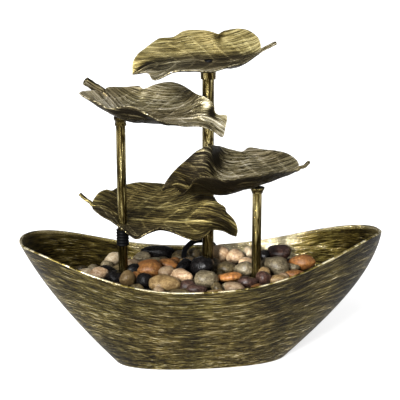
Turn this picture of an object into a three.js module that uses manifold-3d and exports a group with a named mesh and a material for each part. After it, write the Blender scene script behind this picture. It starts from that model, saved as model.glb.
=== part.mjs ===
// Tabletop water fountain: a boat-shaped bowl of pebbles with four metal leaves on three poles.
// Millimetres, +Z up. The origin is on the table, under the centre of the bowl. +X is along the
// bowl, -Y is its front. Water rises from the pump through the centre pole to the top leaf.

import * as THREE from 'three';
import { mergeVertices } from 'three/addons/utils/BufferGeometryUtils.js';
import Module from 'manifold-3d';

const wasm = await Module();
wasm.setup();

// ---- driving dimensions ------------------------------------------------------------------

const GAP = 0.3;                       // clearance between neighbouring solids

const BOWL = {
  rightLength: 177.5, leftLength: 175.5, halfWidth: 85,   // at the rim
  footLength: 86, footWidth: 37,       // half axes of the foot
  bottom: 1.5, floor: 5.5, wall: 2.4,
  roundness: 2.46,                     // exponent of the rim's superellipse
};

const POLES = {
  centre: { x: 9, y: 18, radius: 5.75, bore: 4.25, bottom: 60, top: 289 },
  left: { x: -76, y: 11, radius: 4.6, bore: 3.2, bottom: BOWL.floor + 0.6, top: 244 },
  right: { x: 53.5, y: -9, radius: 4.6, bore: 3.2, bottom: BOWL.floor + 0.6, top: 175.5 },
};

const SOCKET = { flange: 8, flangeHeight: 3, neck: 6.5, height: 18 };
const SLEEVE = { bottom: 116, top: 132, radius: 6.3 };   // rubber stop under leaf 4
const COLLARS = {
  leaf_1: { pole: 'centre', bottom: 277, top: 289, foot: 8, head: 7.2 },
  leaf_2: { pole: 'left', bottom: 235, top: 244, foot: 6.6, head: 6 },
  leaf_3: { pole: 'right', bottom: 170, top: 175.5, foot: 5.6, head: 7.2 },
};
const HOLES = {
  leaf_1: { pole: 'centre', radius: 4, z: 294 },   // the water comes out here
  leaf_4: { pole: 'left', radius: 5.2, z: 140 },   // the left pole passes through
};
const HOLE_REACH = 25;

const PAD = { x: 58, y: 17, radius: 8 };
const NOTCH = { x: 22.6, z: 90.5, radius: 4, inside: 20, outside: 10 };   // lets the cord over the rim

const LEAF_THICKNESS = 1.6;
const PEBBLE_TOP = 80;                 // height of the packed pebbles under the loose top layer

const PUMP = { x: 9, y: 11, width: 44, depth: 36, bottom: 10.5, height: 36, corner: 5 };
const ROTOR = { z: 27, chamber: 11.5, magnet: 8, shaft: 1.2, bore: 1.5 };
const NOZZLE = { radius: 5.8, bore: 4, height: 12 };
const INTAKE = { halfWidth: 20, thickness: 3, margin: 2, slots: [-12, -6, 6, 12], slotWidth: 3, reach: 11 };
const IMPELLER = { hub: 3.5, front: 2, back: 9, bladeThickness: 1.6, tip: 1 };
const DIAL = { radius: 4.5, thickness: 3.7 };
const HOSE = { bore: 6.1, radius: 8, overlap: 14 };
const CUP = { x: 15, y: 12, lip: 5, neck: 3, rise: 1.2 };
const GLAND = { x: -8, y: 20, foot: 4.6, head: 3.6, height: 20 };

const CORD = { radius: 2.8, sides: 10 };
const COIL = { x: -8, y: 152, inner: 19.6, outer: 42, bottom: 1.2, height: 11.4 };
const TIE = { halfWidth: 2, thickness: 0.8, slack: 0.3 };
const PLUG = { x: -47.5, z: 8.4, front: 78, length: 30, width: 26, height: 16, corner: 4 };
const RELIEF = { foot: 5.4, head: 3.6, length: 9.6 };
const BLADE = { x: 6.35, width: 1.5, height: 6.3, length: 17 };

// ---- materials ---------------------------------------------------------------------------

const material = (color, roughness, metalness) =>
  new THREE.MeshStandardMaterial({ color, roughness, metalness });

const bronze = material(0x5d5334, 0.45, 0.7);
const leafBronze = material(0x6f6448, 0.42, 0.75);
const tubeBrass = material(0x8a7638, 0.35, 0.85);
const blackRubber = material(0x141414, 0.7, 0);
const blackPlastic = material(0x1c1c1e, 0.5, 0);
const greyMagnet = material(0x3c3c40, 0.6, 0.2);
const steel = material(0xb8bcc0, 0.25, 1);
const cork = material(0x3a2f25, 0.9, 0);
const gravel = material(0x5a4a3c, 0.8, 0);

// ---- solids ------------------------------------------------------------------------------

// Merges shared vertices, drops collapsed triangles and turns the faces outwards.
function closed(geometry) {
  const bare = geometry.index ? geometry.toNonIndexed() : geometry.clone();
  for (const name of Object.keys(bare.attributes)) if (name !== 'position') bare.deleteAttribute(name);
  const merged = mergeVertices(bare, 1e-3);
  const position = merged.attributes.position;
  const corner = [new THREE.Vector3(), new THREE.Vector3(), new THREE.Vector3()];
  const kept = [];
  let volume = 0;
  for (let i = 0; i < merged.index.count; i += 3) {
    const face = [0, 1, 2].map((k) => merged.index.getX(i + k));
    if (new Set(face).size < 3) continue;
    face.forEach((vertex, k) => corner[k].fromBufferAttribute(position, vertex));
    volume += corner[0].dot(corner[1].clone().cross(corner[2]));
    kept.push(face);
  }
  merged.setIndex(kept.flatMap((face) => (volume < 0 ? face.reverse() : face)));
  return merged;
}

function toSolid(geometry) {
  const body = closed(geometry);
  return new wasm.Manifold(new wasm.Mesh({
    numProp: 3,
    vertProperties: new Float32Array(body.attributes.position.array),
    triVerts: new Uint32Array(body.index.array),
  }));
}

function fromSolid(solid) {
  const mesh = solid.getMesh();
  const geometry = new THREE.BufferGeometry();
  geometry.setAttribute('position', new THREE.BufferAttribute(mesh.vertProperties, 3));
  geometry.setIndex(new THREE.BufferAttribute(mesh.triVerts, 1));
  return geometry;
}

const cut = (geometry, ...tools) =>
  fromSolid(tools.reduce((solid, tool) => solid.subtract(toSolid(tool)), toSolid(geometry)));

const box = (x0, x1, y0, y1, z0, z1) =>
  new THREE.BoxGeometry(x1 - x0, y1 - y0, z1 - z0)
    .translate((x0 + x1) / 2, (y0 + y1) / 2, (z0 + z1) / 2);

// A solid of revolution about a vertical axis; the profile is a list of [radius, height].
function turned(profile, x, y, sides = 24) {
  const points = profile.map(([radius, height]) => new THREE.Vector2(radius, height));
  return new THREE.LatheGeometry(points, sides).rotateX(Math.PI / 2).translate(x, y, 0);
}

const rod = (radius, z0, z1, x, y, sides = 24) =>
  turned([[0, z0], [radius, z0], [radius, z1], [0, z1]], x, y, sides);

const ring = (inner, outer, z0, z1, x, y, sides = 24) =>
  turned([[inner, z0], [outer, z0], [outer, z1], [inner, z1], [inner, z0]], x, y, sides);

// The same shapes lying along Y, from y0 to y1.
const alongY = (geometry, x, z) => geometry.rotateX(-Math.PI / 2).translate(x, 0, z);
const rodY = (radius, y0, y1, x, z, sides = 24) => alongY(rod(radius, y0, y1, 0, 0, sides), x, z);
const ringY = (inner, outer, y0, y1, x, z, sides = 24) =>
  alongY(ring(inner, outer, y0, y1, 0, 0, sides), x, z);

function roundedRect(width, depth, radius) {
  const [w, d] = [width / 2, depth / 2];
  const shape = new THREE.Shape();
  shape.moveTo(-w + radius, -d);
  shape.absarc(w - radius, -d + radius, radius, -Math.PI / 2, 0);
  shape.absarc(w - radius, d - radius, radius, 0, Math.PI / 2);
  shape.absarc(-w + radius, d - radius, radius, Math.PI / 2, Math.PI);
  shape.absarc(-w + radius, -d + radius, radius, Math.PI, 1.5 * Math.PI);
  return shape;
}

const roundedBlock = (width, depth, height, radius, x, y, z) =>
  new THREE.ExtrudeGeometry(roundedRect(width, depth, radius),
    { depth: height, bevelEnabled: false, curveSegments: 4 }).translate(x, y, z);

function roundSection(radius, sides) {
  const shape = new THREE.Shape();
  for (let i = 0; i < sides; i += 1) {
    const angle = (2 * Math.PI * i) / sides;
    const [x, y] = [radius * Math.cos(angle), radius * Math.sin(angle)];
    if (i === 0) shape.moveTo(x, y); else shape.lineTo(x, y);
  }
  shape.closePath();
  return shape;
}

const vectors = (points) => points.map((p) => new THREE.Vector3(...p));

const tubeAlong = (points, radius, steps, sides = CORD.sides) =>
  new THREE.ExtrudeGeometry(roundSection(radius, sides), {
    steps, extrudePath: new THREE.CatmullRomCurve3(vectors(points), false, 'centripetal'),
  });

// Joins rows of points into a skin; each row is a closed loop of the same count.
function skinOfLoops(rows) {
  const count = rows[0].length;
  const triangles = [];
  const quad = (a, b, c, d) => triangles.push(a, b, c, a, c, d);
  for (let i = 0; i + 1 < rows.length; i += 1) {
    for (let j = 0; j < count; j += 1) {
      const k = (j + 1) % count;
      quad(rows[i][j], rows[i][k], rows[i + 1][k], rows[i + 1][j]);
    }
  }
  for (const row of [rows[0], rows[rows.length - 1]]) {
    const hub = row.reduce((sum, p) => sum.add(p), new THREE.Vector3()).divideScalar(count);
    row.forEach((p, j) => {
      const next = row[(j + 1) % count];
      triangles.push(hub, ...(row === rows[0] ? [next, p] : [p, next]));
    });
  }
  return new THREE.BufferGeometry().setFromPoints(triangles);
}

// ---- bowl --------------------------------------------------------------------------------

function superellipse(angle, a, b) {
  const power = 2 / BOWL.roundness;
  const spread = (value) => Math.sign(value) * Math.abs(value) ** power;
  return [a * spread(Math.cos(angle)), b * spread(Math.sin(angle))];
}

// The rim swings up at both ends and dips at the front and back, a little unevenly.
function rimHeight(angle) {
  return 114.4 - 6 * Math.sin(angle) + 17 * Math.cos(2 * angle) - 3 * Math.sin(2 * angle)
    - 2.4 * Math.sin(3 * angle) - 4 * Math.cos(4 * angle);
}

// A point of the outer wall: level 0 is the foot and 1 the rim.
function wallPoint(angle, level) {
  const end = Math.cos(angle) ** 2;
  const bulge = -0.06 * (1 - end) + (Math.cos(angle) < 0 ? 0.32 : 0.66) * end;
  const skew = (Math.cos(angle) < 0 ? 0.03 : 0.17) * end;
  const blend = level * (1 - level);
  const grow = level + bulge * blend + skew * blend * (2 * level - 1);
  const [footX, footY] = superellipse(angle, BOWL.footLength, BOWL.footWidth);
  const length = Math.cos(angle) < 0 ? BOWL.leftLength : BOWL.rightLength;
  const [rimX, rimY] = superellipse(angle, length, BOWL.halfWidth);
  return new THREE.Vector3(
    footX + (rimX - footX) * grow,
    footY + (rimY - footY) * grow,
    BOWL.bottom + (rimHeight(angle) - BOWL.bottom) * level,
  );
}

// A point inside the bowl, a given distance in from the outer wall.
function insidePoint(angle, level, inset) {
  const point = wallPoint(angle, level);
  const nudge = 1e-3;
  const along = wallPoint(angle + nudge, level).sub(wallPoint(angle - nudge, level));
  const up = wallPoint(angle, level + nudge).sub(wallPoint(angle, level - nudge));
  const inward = up.cross(along).setZ(0).normalize();
  return point.addScaledVector(inward, inset);
}

const levelAt = (angle, height) => (height - BOWL.bottom) / (rimHeight(angle) - BOWL.bottom);
const anglesAround = (count) =>
  Array.from({ length: count }, (_, i) => (2 * Math.PI * (i + 0.5)) / count);

function bowl() {
  const angles = anglesAround(56);
  const outer = [0, 0.15, 0.3, 0.45, 0.6, 0.8, 1].map((level) =>
    angles.map((angle) => wallPoint(angle, level)));
  const inner = [1, 0.8, 0.6, 0.45, 0.3, 0.15, 0].map((step) =>
    angles.map((angle) => {
      const floor = levelAt(angle, BOWL.floor);
      return insidePoint(angle, floor + (1 - floor) * step, BOWL.wall);
    }));
  const notch = rodY(NOTCH.radius, BOWL.halfWidth - NOTCH.inside, BOWL.halfWidth + NOTCH.outside,
    NOTCH.x, NOTCH.z, 16);
  return cut(skinOfLoops([...outer, ...inner]), notch);
}

// The packed pebbles: everything between the floor and PEBBLE_TOP, less the pump and the poles.
function pebbleBed(hollows) {
  const angles = anglesAround(32);
  const clear = BOWL.wall + 0.7;
  const rows = [0, 0.25, 0.5, 0.75, 1].map((step) => angles.map((angle) => {
    const height = BOWL.floor + GAP + (PEBBLE_TOP - BOWL.floor - GAP) * step;
    return insidePoint(angle, levelAt(angle, height), clear);
  }));
  return cut(skinOfLoops(rows), ...hollows);
}

// ---- leaves ------------------------------------------------------------------------------

// Each leaf is a dished sheet over three guides that all run from the stalk to the tip: its far
// edge, its midrib and its near edge. Across the leaf the sheet is a parabola through the three.
const LEAVES = {
  leaf_1: {
    base: [61, 26, 302], tip: [-64, 12, 284], stalk: [[62, 26, 303], [69, 28, 306], [76, 30, 309]],
    far: [[63, 40, 308], [62, 54, 313], [54, 67, 318], [41, 71, 319], [32, 68, 318], [24, 56, 316],
      [18, 68, 317], [4, 77, 318], [-9, 77, 317], [-20, 68, 312], [-34, 66, 311], [-46, 52, 306],
      [-56, 38, 300], [-63, 22, 293]],
    mid: [[46, 16, 297], [30, 18, 294], [10, 18, 294], [-13, 16, 295], [-33, 12, 293], [-50, 10, 291]],
    near: [[52, 8, 299], [39, -8, 296], [25, -20, 295], [7, -26, 291], [-10, -30, 292.5],
      [-21, -32, 292.5], [-31, -30, 291], [-40, -26, 286], [-46, -18, 283], [-50, -6, 287],
      [-56, 6, 287]],
  },
  leaf_2: {
    base: [-91, 30, 264], tip: [23, -5, 234],
    stalk: [[-92, 30, 265], [-100, 28, 270], [-108, 26, 276]],
    far: [[-87, 46, 266], [-74, 60, 264], [-55, 64, 264], [-51, 54, 263], [-37, 62, 266],
      [-23, 64, 268], [-13, 56, 266], [-7, 40, 264], [-4, 26, 263], [-1, 12, 263], [4, 6, 262],
      [9, 4, 259], [13, 3, 254], [13, 2, 249], [16, 2, 245], [25, 2, 244]],
    mid: [[-83, 22, 257], [-75, 12, 249], [-61, 8, 243], [-46, 4, 241], [-31, 0, 242],
      [-14, -2, 243], [4, -4, 244]],
    near: [[-100, 22, 267], [-110, 16, 268], [-114, 8, 268], [-108, -4, 265], [-98, -10, 262],
      [-88, -14, 257], [-76, -20, 259], [-65, -24, 259], [-57, -26, 255], [-50, -30, 251],
      [-40, -32, 246], [-30, -28, 243.5], [-16, -22, 240], [-2, -16, 238], [9, -14, 233],
      [19, -12, 226]],
  },
  leaf_3: {
    base: [96, 4, 189], tip: [-40, -10, 175], stalk: [[97, 5, 190], [103, 8, 191], [108, 12, 194]],
    far: [[99, 18, 192], [98, 30, 194], [92, 42, 197], [82, 50, 199], [68, 54, 200], [55, 52, 202],
      [46, 42, 200], [34, 42, 203], [23, 32, 208], [16, 16, 212], [10, 6, 215], [3, 4, 213],
      [-4, 6, 209], [-16, 4, 200], [-25, 0, 193], [-33, -6, 185]],
    mid: [[78, -2, 184], [62, -8, 182], [51, -10, 180], [36, -12, 177], [18, -16, 174],
      [2, -18, 176], [-12, -16, 179], [-25, -12, 182]],
    near: [[87, -6, 190], [73, -20, 192.5], [60, -30, 194.5], [45, -40, 195], [28, -46, 194],
      [14, -50, 194.5], [2, -50, 197], [-6, -48, 197], [-12, -44, 193], [-15, -40, 186],
      [-21, -30, 177], [-29, -16, 182]],
  },
  leaf_4: {
    base: [-105, 46, 148], tip: [33, -15, 129],
    stalk: [[-106, 47, 150], [-111, 50, 153], [-116, 54, 157]],
    far: [[-103, 56, 151], [-97, 66, 156], [-89, 74, 157], [-84, 72, 156], [-78, 78, 157],
      [-65, 82, 159], [-46, 82, 160], [-29, 74, 161], [-14, 54, 164], [-4, 32, 167], [2, 10, 169],
      [7, 7, 168], [13, 6, 164], [17, 5, 158], [24, 3, 153], [25, 1, 149], [30, -1, 144],
      [34, -4, 138], [35, -9, 133]],
    mid: [[-91, 38, 147], [-76, 22, 141], [-59, 14, 140], [-40, 6, 140], [-19, -4, 142],
      [3, -8, 143], [19, -12, 140]],
    near: [[-104, 36, 146], [-95, 20, 142.5], [-85, 6, 141], [-77, -3, 137], [-71, -9, 133],
      [-66, -14, 130], [-62, -18, 131], [-56, -20, 135], [-50, -21, 139], [-43, -22, 142],
      [-34, -26, 142], [-25, -30, 139], [-16, -34, 135], [-9, -36, 133], [0, -34, 137],
      [7, -28, 141], [17, -26, 139], [26, -22, 133.5]],
  },
};

const LEAF_ROWS = 22;
const LEAF_SIDE = 4;                   // strips between the midrib and an edge

function leafBlade({ base, tip, far, mid, near }) {
  const guide = (points) =>
    new THREE.CatmullRomCurve3(vectors([base, ...points, tip]), false, 'centripetal');
  const [farEdge, midrib, nearEdge] = [far, mid, near].map(guide);
  const across = (u) => {
    const [f, m, n] = [farEdge, midrib, nearEdge].map((curve) => curve.getPointAt(u));
    const slope = f.clone().sub(n).multiplyScalar(0.5);
    const curve = f.clone().add(n).multiplyScalar(0.5).sub(m);
    return Array.from({ length: 2 * LEAF_SIDE + 1 }, (_, k) => {
      const w = 1 - k / LEAF_SIDE;
      return m.clone().addScaledVector(slope, w).addScaledVector(curve, w * w);
    });
  };
  const rows = [];
  for (let i = 1; i < LEAF_ROWS; i += 1) rows.push(across(i / LEAF_ROWS));
  const ends = [new THREE.Vector3(...base), new THREE.Vector3(...tip)];
  const lower = (p) => p.clone().setZ(p.z - LEAF_THICKNESS);
  const triangles = [];
  const quad = (a, b, c, d) => triangles.push(a, b, c, a, c, d);
  const last = rows.length - 1;
  for (let i = 0; i < last; i += 1) {
    for (let k = 0; k + 1 < rows[i].length; k += 1) {
      const [a, b, c, d] = [rows[i][k], rows[i][k + 1], rows[i + 1][k + 1], rows[i + 1][k]];
      quad(a, b, c, d);
      quad(lower(d), lower(c), lower(b), lower(a));
    }
    const edge = rows[i].length - 1;
    quad(rows[i + 1][0], lower(rows[i + 1][0]), lower(rows[i][0]), rows[i][0]);
    quad(rows[i][edge], lower(rows[i][edge]), lower(rows[i + 1][edge]), rows[i + 1][edge]);
  }
  const fan = (hub, row) => {
    for (let k = 0; k + 1 < row.length; k += 1) {
      triangles.push(hub, row[k + 1], row[k], lower(hub), lower(row[k]), lower(row[k + 1]));
    }
    const edge = row[row.length - 1];
    quad(hub, lower(hub), lower(edge), edge);
    quad(row[0], lower(row[0]), lower(hub), hub);
  };
  fan(ends[0], rows[0]);
  fan(ends[1], [...rows[last]].reverse());
  return new THREE.BufferGeometry().setFromPoints(triangles);
}

// ---- assembly ----------------------------------------------------------------------------

const fountain = new THREE.Group();

function add(name, geometry, finish) {
  const mesh = new THREE.Mesh(closed(geometry), finish.clone());
  mesh.name = name;
  fountain.add(mesh);
}

const CORNERS = [[-1, -1], [1, -1], [-1, 1], [1, 1]];

// Bowl and the pads under its foot.
add('bowl', bowl(), bronze);
CORNERS.forEach(([x, y], i) =>
  add(`foot_pad_${i + 1}`, rod(PAD.radius, 0, BOWL.bottom - GAP, PAD.x * x, PAD.y * y), cork));

// Poles, the sockets that hold the outer two, and the rubber stop under leaf 4.
for (const [side, pole] of Object.entries(POLES)) {
  add(`${side}_pole`, ring(pole.bore, pole.radius, pole.bottom, pole.top, pole.x, pole.y), tubeBrass);
}
for (const side of ['left', 'right']) {
  const { x, y, radius, bottom } = POLES[side];
  const [seat, bore, top] = [BOWL.floor + GAP, radius + GAP, bottom + SOCKET.height];
  const shoulder = seat + SOCKET.flangeHeight;
  add(`${side}_pole_socket`, turned([[bore, seat], [SOCKET.flange, seat], [SOCKET.flange, shoulder],
    [SOCKET.neck, shoulder + 1], [SOCKET.neck, top], [bore, top], [bore, seat]], x, y), blackPlastic);
}
add('left_pole_sleeve', ring(POLES.left.radius + GAP, SLEEVE.radius, SLEEVE.bottom, SLEEVE.top,
  POLES.left.x, POLES.left.y), blackRubber);

// Leaves: blade, rolled stalk and the collar that sits on the pole.
const STALK_RADIUS = { leaf_1: 1.8, leaf_2: 3.6, leaf_3: 1.8, leaf_4: 1.8 };
for (const [name, leaf] of Object.entries(LEAVES)) {
  let blade = leafBlade(leaf);
  if (HOLES[name]) {
    const { pole, radius, z } = HOLES[name];
    blade = cut(blade, rod(radius, z - HOLE_REACH, z + HOLE_REACH, POLES[pole].x, POLES[pole].y));
  }
  add(`${name}_blade`, blade, leafBronze);
  const stalk = tubeAlong(leaf.stalk, STALK_RADIUS[name], 4, 8);
  const clearance = [-GAP, 0, GAP].map((lift) => leafBlade(leaf).translate(0, 0, lift));
  add(`${name}_stalk`, cut(stalk, ...clearance), leafBronze);
}
for (const [name, { pole, bottom, top, foot, head }] of Object.entries(COLLARS)) {
  const { x, y, radius } = POLES[pole];
  const bore = radius + GAP;
  add(`${name}_collar`, turned([[bore, bottom], [foot, bottom], [foot, bottom + 2], [head, top - 2],
    [head, top], [bore, top], [bore, bottom]], x, y), tubeBrass);
}

// Pump: housing, intake cover, rotor on a fixed shaft, flow dial, outlet nozzle and hose.
const pumpTop = PUMP.bottom + PUMP.height;
const front = PUMP.y - PUMP.depth / 2;
const back = front + PUMP.depth;
const { centre } = POLES;
add('pump_housing', cut(
  roundedBlock(PUMP.width, PUMP.depth, PUMP.height, PUMP.corner, PUMP.x, PUMP.y, PUMP.bottom),
  rodY(ROTOR.chamber, front - 1, centre.y + 2, PUMP.x, ROTOR.z),
  rod(NOZZLE.bore, ROTOR.z, pumpTop + 1, centre.x, centre.y),
), blackPlastic);
const slots = INTAKE.slots.map((dx) => box(PUMP.x + dx - INTAKE.slotWidth / 2,
  PUMP.x + dx + INTAKE.slotWidth / 2, front - 2 * INTAKE.thickness, front,
  ROTOR.z - INTAKE.reach, ROTOR.z + INTAKE.reach));
add('pump_intake_cover', cut(
  box(PUMP.x - INTAKE.halfWidth, PUMP.x + INTAKE.halfWidth, front - INTAKE.thickness, front - GAP,
    PUMP.bottom + INTAKE.margin, pumpTop - INTAKE.margin), ...slots), blackPlastic);
add('pump_shaft', rodY(ROTOR.shaft, front + 1, centre.y + 1, PUMP.x, ROTOR.z, 16), steel);
const [wheelFront, wheelBack] = [front + IMPELLER.front, front + IMPELLER.back];
add('pump_rotor', ringY(ROTOR.bore, ROTOR.magnet, wheelBack, centre.y - 1, PUMP.x, ROTOR.z),
  greyMagnet);
const hub = toSolid(ringY(ROTOR.bore, IMPELLER.hub, wheelFront, wheelBack - GAP, PUMP.x, ROTOR.z));
const blades = [0, 1, 2, 3].map((i) => toSolid(
  box(IMPELLER.hub - 1, ROTOR.chamber - IMPELLER.tip, wheelFront, wheelBack - GAP,
    -IMPELLER.bladeThickness / 2, IMPELLER.bladeThickness / 2)
    .rotateY((i * Math.PI) / 2).translate(PUMP.x, 0, ROTOR.z)));
add('pump_impeller', fromSolid(blades.reduce((solid, blade) => solid.add(blade), hub)), blackPlastic);
const dialBack = front - INTAKE.thickness - GAP;
add('pump_flow_dial', rodY(DIAL.radius, dialBack - DIAL.thickness, dialBack, PUMP.x, ROTOR.z),
  blackPlastic);
add('pump_outlet_nozzle', ring(NOZZLE.bore, NOZZLE.radius, pumpTop + GAP,
  pumpTop + NOZZLE.height, centre.x, centre.y), blackPlastic);
add('riser_hose', ring(HOSE.bore, HOSE.radius, pumpTop + 1, centre.bottom + HOSE.overlap,
  centre.x, centre.y), blackRubber);
const cupFoot = BOWL.floor + GAP;
CORNERS.forEach(([x, y], i) =>
  add(`suction_cup_${i + 1}`, turned([[0, cupFoot + CUP.rise], [CUP.lip - 0.5, cupFoot],
    [CUP.lip, cupFoot], [CUP.neck, PUMP.bottom - CUP.rise - GAP], [CUP.neck, PUMP.bottom - GAP],
    [0, PUMP.bottom - GAP]], PUMP.x + CUP.x * x, PUMP.y + CUP.y * y, 16), blackRubber));

// Mains cord: out of the gland on top of the pump, up through the pebbles, in an arch behind the
// centre pole, over the back rim and down to the table, where the rest is coiled behind the bowl.
const glandTop = pumpTop + GLAND.height;
add('pump_cord_gland', turned([[0, pumpTop + GAP], [GLAND.foot, pumpTop + GAP],
  [GLAND.head, glandTop], [0, glandTop]], GLAND.x, GLAND.y, 16), blackRubber);
const ROUTE = [
  [-8, 20, 67], [-8.1, 20.4, 71.3], [-8.7, 21.8, 76.4], [-9.8, 24.4, 81], [-11.3, 28.2, 85],
  [-12.6, 33.6, 89], [-12.9, 40.3, 93], [-11, 47.2, 96.9], [-6.5, 53.8, 99.9], [-0.6, 60.2, 101.6],
  [6.6, 66.4, 101], [13.2, 72.6, 98.2], [18.6, 78.6, 94.4], [22.6, 84.6, 89.9], [25.2, 90.4, 84],
  [27, 95.8, 76.4], [28.4, 100.4, 66.8], [29.5, 104.2, 55.5], [30.4, 107.8, 43], [31, 112, 30.8],
  [31.4, 117.4, 20], [31.6, 124, 12.2], [31.5, 129, 8.4],
];
add('cord_run', tubeAlong(ROUTE, CORD.radius, 40), blackRubber);
add('cord_coil', ring(COIL.inner, COIL.outer, COIL.bottom, COIL.bottom + COIL.height,
  COIL.x, COIL.y, 32), blackRubber);
const TAIL = [[-47.5, 132, 8.6], [-47.5, 128, 8.5], [-47.5, 123, 8.4], [-47.5, 118, 8.4]];
add('cord_tail', tubeAlong(TAIL, CORD.radius, 4), blackRubber);
const coilTop = COIL.bottom + COIL.height;
const [tieNear, tieFar] = [COIL.y + COIL.inner - 3 * GAP, COIL.y + COIL.outer + GAP];
const tieFloor = COIL.bottom - TIE.slack;
add('cord_tie', cut(
  box(COIL.x - TIE.halfWidth, COIL.x + TIE.halfWidth, tieNear - TIE.thickness,
    tieFar + TIE.thickness, tieFloor - TIE.thickness, coilTop + TIE.slack + TIE.thickness),
  box(COIL.x - TIE.halfWidth - 1, COIL.x + TIE.halfWidth + 1, tieNear, tieFar,
    tieFloor, coilTop + TIE.slack),
), blackPlastic);

// Two-pin plug.
const plugBack = PLUG.front + PLUG.length;
add('plug_body', roundedBlock(PLUG.width, PLUG.height, PLUG.length, PLUG.corner, 0, 0, 0)
  .rotateX(-Math.PI / 2).translate(PLUG.x, PLUG.front, PLUG.z), blackRubber);
add('plug_strain_relief', alongY(turned([[0, plugBack + GAP], [RELIEF.foot, plugBack + GAP],
  [RELIEF.head, plugBack + RELIEF.length], [0, plugBack + RELIEF.length]], 0, 0, 16),
PLUG.x, PLUG.z), blackRubber);
[-BLADE.x, BLADE.x].forEach((dx, i) => add(`plug_blade_${i + 1}`, box(
  PLUG.x + dx - BLADE.width / 2, PLUG.x + dx + BLADE.width / 2, PLUG.front - BLADE.length,
  PLUG.front - GAP, PLUG.z - BLADE.height / 2, PLUG.z + BLADE.height / 2), steel));

// Pebbles. The loose top layer is a list of [x, y, length, width, height, turn in degrees].
const PEBBLES = [
  [-108, -6, 24, 17, 11, 5, 0xb9ada0], [-93, 13, 20, 15, 12, 10, 0x1b1b1d],
  [-73, -21, 15, 17, 13, 80, 0xa98a54], [-51, 5, 26, 21, 17, -10, 0x8a5527],
  [-37, -37, 28, 20, 16, 15, 0x7d6844], [-25, -10, 26, 15, 14, -40, 0xa3927f],
  [-2, -1, 21, 17, 19, 20, 0x151517], [3, -35, 22, 20, 16, 0, 0x6b6658],
  [25, 35, 20, 17, 14, 15, 0xa28c72], [39, -10, 17, 14, 14, 0, 0x847b6c],
  [22, -58, 17, 13, 11, -10, 0xb49c92], [75, -4, 25, 20, 18, -20, 0x6f6353],
  [86, 37, 24, 18, 14, 0, 0x4a2f2c], [103, 8, 26, 18, 13, -25, 0x98602d],
  [24, 4, 17, 14, 11, 0, 0x5e5738], [-38, 58, 38, 17, 12, 0, 0x2c2422],
];

// Hollows in the packed pebbles: the heap falls away at both ends, and leaves room for the pump,
// the hose and gland, the poles with their sockets, and the cord.
const WEDGE = { half: 80, width: 100, height: 60, rise: 2 };
const ENDS = [{ x: -172, lean: -22 }, { x: 164, lean: 22 }];
const ROOM = { pump: 4, intake: 10, socket: 3, socketTop: 26, pole: 0.6, cord: 1 };
const wedges = ENDS.map(({ x, lean }) =>
  box(-WEDGE.half, WEDGE.half, -WEDGE.width, WEDGE.width, 0, WEDGE.height)
    .rotateY((lean * Math.PI) / 180).translate(x, 0, PEBBLE_TOP + WEDGE.rise));
const shafts = [POLES.left, POLES.right].flatMap(({ x, y, radius }) => [
  rod(SOCKET.flange + ROOM.socket, 0, ROOM.socketTop, x, y),
  rod(radius + ROOM.pole, 0, PEBBLE_TOP + WEDGE.height, x, y),
]);
const pumpSide = PUMP.width / 2 + ROOM.pump;
add('pebble_bed', pebbleBed([
  ...wedges,
  ...shafts,
  box(PUMP.x - pumpSide, PUMP.x + pumpSide, front - ROOM.intake, back + ROOM.pump,
    0, pumpTop + ROOM.pump / 2),
  box(GLAND.x - 7, centre.x + 11, GLAND.y - 12, GLAND.y + 10, pumpTop, centre.bottom + 16),
  rod(centre.radius + ROOM.pole, centre.bottom, PEBBLE_TOP + WEDGE.height, centre.x, centre.y),
  tubeAlong([[GLAND.x, GLAND.y, 60], ...ROUTE.slice(0, 6)], CORD.radius + ROOM.cord, 12),
]), gravel);
PEBBLES.forEach(([x, y, length, width, height, degrees, color], i) =>
  add(`pebble_${i + 1}`, new THREE.IcosahedronGeometry(0.5, 1).scale(length, width, height)
    .rotateZ((degrees * Math.PI) / 180).translate(x, y, PEBBLE_TOP + GAP + height / 2),
  material(color, 0.35, 0)));

export default fountain;
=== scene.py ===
"""Tabletop water fountain: an antique bronze bowl of pebbles, three poles and four metal leaves.

Everything is in metres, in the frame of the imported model: +X along the bowl, -Y its front, +Z up.
Lists of points are written in millimetres and scaled by MM.
"""

import math
import random

import bmesh
import bpy
import numpy as np
from mathutils import Matrix, Vector, noise


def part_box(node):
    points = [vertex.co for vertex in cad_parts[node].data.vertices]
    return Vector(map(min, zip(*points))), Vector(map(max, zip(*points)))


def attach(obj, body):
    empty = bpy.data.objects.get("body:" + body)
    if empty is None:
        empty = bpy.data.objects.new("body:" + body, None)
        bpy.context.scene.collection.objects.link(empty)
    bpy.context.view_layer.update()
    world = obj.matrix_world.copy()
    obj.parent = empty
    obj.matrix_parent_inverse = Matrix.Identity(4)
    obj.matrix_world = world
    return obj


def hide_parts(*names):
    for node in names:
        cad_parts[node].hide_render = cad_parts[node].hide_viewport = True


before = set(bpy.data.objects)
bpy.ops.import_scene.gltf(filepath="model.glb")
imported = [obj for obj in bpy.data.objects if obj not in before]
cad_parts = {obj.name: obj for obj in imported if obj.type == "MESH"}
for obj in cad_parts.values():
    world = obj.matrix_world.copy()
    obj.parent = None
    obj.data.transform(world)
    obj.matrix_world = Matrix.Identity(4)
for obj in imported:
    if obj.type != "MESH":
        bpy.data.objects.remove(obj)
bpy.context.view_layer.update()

MM = 0.001
ROOT = "bowl_and_poles"
scene = bpy.context.scene


# ---- camera ----

VIEW_TARGET = Vector((-0.001, 0.0, 0.160))
VIEW_AZIMUTH = math.radians(-6.5)
VIEW_ELEVATION = math.radians(15.0)
VIEW_DISTANCE = 1.052


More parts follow.
